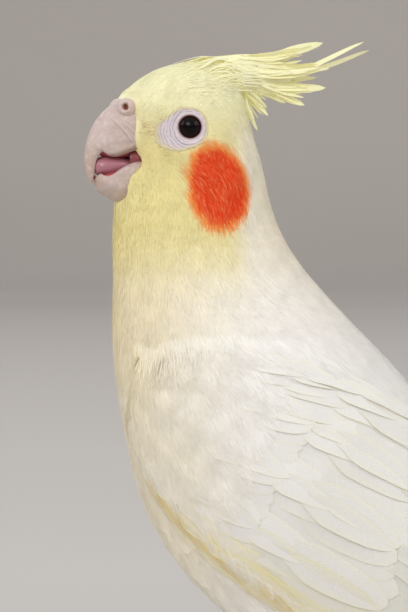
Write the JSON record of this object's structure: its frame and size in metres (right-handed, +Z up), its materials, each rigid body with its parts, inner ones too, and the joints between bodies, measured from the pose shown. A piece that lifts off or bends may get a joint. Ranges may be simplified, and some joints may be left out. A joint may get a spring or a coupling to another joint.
{
  "type": "lutino cockatiel",
  "caption": "Still, life-size model of a pale yellow and white cockatiel standing with its head turned, crest raised and bill open.",
  "frame": {"origin": "middle of the footprint box, on the floor that the feet and the tail tip rest on", "axes": "+Z up, the bird faces -Y with its tail towards +Y, and its left side is towards +X"},
  "size_m": [0.0564, 0.255, 0.1612],
  "materials": {
    "face_plumage": "soft pale yellow feathers with an orange cheek patch",
    "body_plumage": "soft cream feathers",
    "flight_feathers": "smooth white feathers with pale yellow edges",
    "bill_horn": "satin pinkish horn",
    "cere_skin": "matte pinkish skin",
    "tongue": "moist dark pink",
    "eye": "glossy, nearly black",
    "foot_skin": "matte pink scaly skin",
    "claw_horn": "satin pale horn"
  },
  "bodies": {
    "root": {"head": "face_plumage", "crest": "face_plumage", "neck": "body_plumage", "trunk": "body_plumage", "rump": "body_plumage", "thigh_left": "body_plumage", "thigh_right": "body_plumage", "tail": "flight_feathers", "wing_left": "flight_feathers", "wing_right": "flight_feathers", "primaries_left": "flight_feathers", "primaries_right": "flight_feathers", "bill_upper": "bill_horn", "bill_lower": "bill_horn", "cere": "cere_skin", "tongue": "tongue", "eye_left": "eye", "eye_right": "eye", "foot_left": "foot_skin", "foot_right": "foot_skin", "claw_left_1": "claw_horn", "claw_left_2": "claw_horn", "claw_left_3": "claw_horn", "claw_left_4": "claw_horn", "claw_right_1": "claw_horn", "claw_right_2": "claw_horn", "claw_right_3": "claw_horn", "claw_right_4": "claw_horn"}
  },
  "joints": []
}
